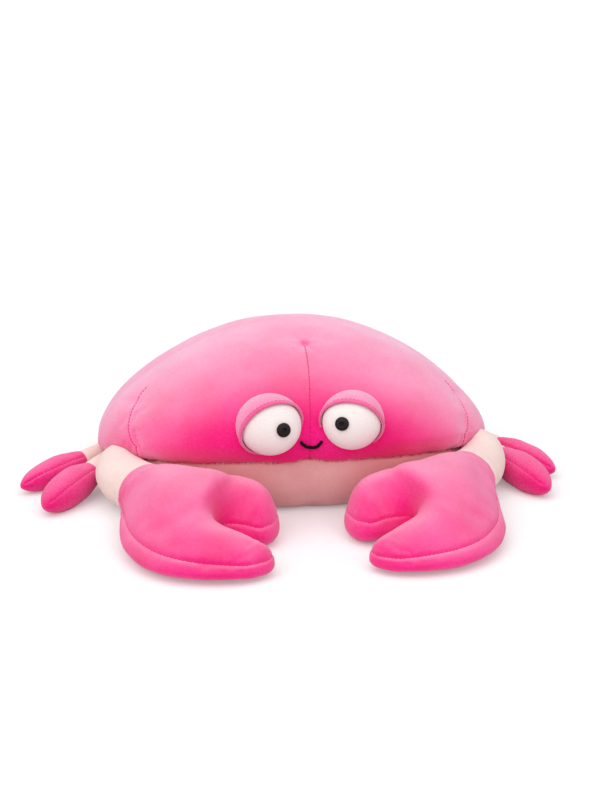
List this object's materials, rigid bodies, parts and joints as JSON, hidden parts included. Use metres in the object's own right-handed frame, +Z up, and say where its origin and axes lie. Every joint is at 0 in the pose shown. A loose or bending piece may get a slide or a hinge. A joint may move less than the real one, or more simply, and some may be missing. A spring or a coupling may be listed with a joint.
{
  "type": "plush crab",
  "caption": "Stuffed velour crab that lies on its belly, with a domed body, curved claws in front, soft legs and lidded eyes.",
  "frame": {"origin": "middle of the belly's flat rest on the floor", "axes": "+Z up, -Y the way the crab faces, +X to the right of someone who looks at its face"},
  "size_m": [0.3936, 0.306, 0.115],
  "materials": {
    "hot_pink_velour": "short-pile velour",
    "pale_pink_velour": "short-pile velour",
    "lid_pink_velour": "short-pile velour",
    "white_velour": "short-pile velour",
    "fibre_filling": "loose polyester fibre",
    "black_plastic": "polished",
    "white_plastic": "moulded",
    "black_thread": "stranded thread"
  },
  "bodies": {
    "root": {"belly": "pale_pink_velour", "body_filling": "fibre_filling", "carapace": "hot_pink_velour", "left_arm_sleeve": "pale_pink_velour", "left_claw_bottom": "hot_pink_velour", "left_claw_filling": "fibre_filling", "left_claw_top": "hot_pink_velour", "left_eye_cover": "white_velour", "left_eye_filling": "fibre_filling", "left_eye_lid": "lid_pink_velour", "left_front_leg_cover": "hot_pink_velour", "left_front_leg_filling": "fibre_filling", "left_front_leg_sleeve": "pale_pink_velour", "left_pupil": "black_plastic", "left_pupil_washer": "white_plastic", "left_rear_leg_cover": "hot_pink_velour", "left_rear_leg_filling": "fibre_filling", "left_rear_leg_sleeve": "pale_pink_velour", "mouth": "black_thread", "right_arm_sleeve": "pale_pink_velour", "right_claw_bottom": "hot_pink_velour", "right_claw_filling": "fibre_filling", "right_claw_top": "hot_pink_velour", "right_eye_cover": "white_velour", "right_eye_filling": "fibre_filling", "right_eye_lid": "lid_pink_velour", "right_front_leg_cover": "hot_pink_velour", "right_front_leg_filling": "fibre_filling", "right_front_leg_sleeve": "pale_pink_velour", "right_pupil": "black_plastic", "right_pupil_washer": "white_plastic", "right_rear_leg_cover": "hot_pink_velour", "right_rear_leg_filling": "fibre_filling", "right_rear_leg_sleeve": "pale_pink_velour"}
  },
  "joints": []
}
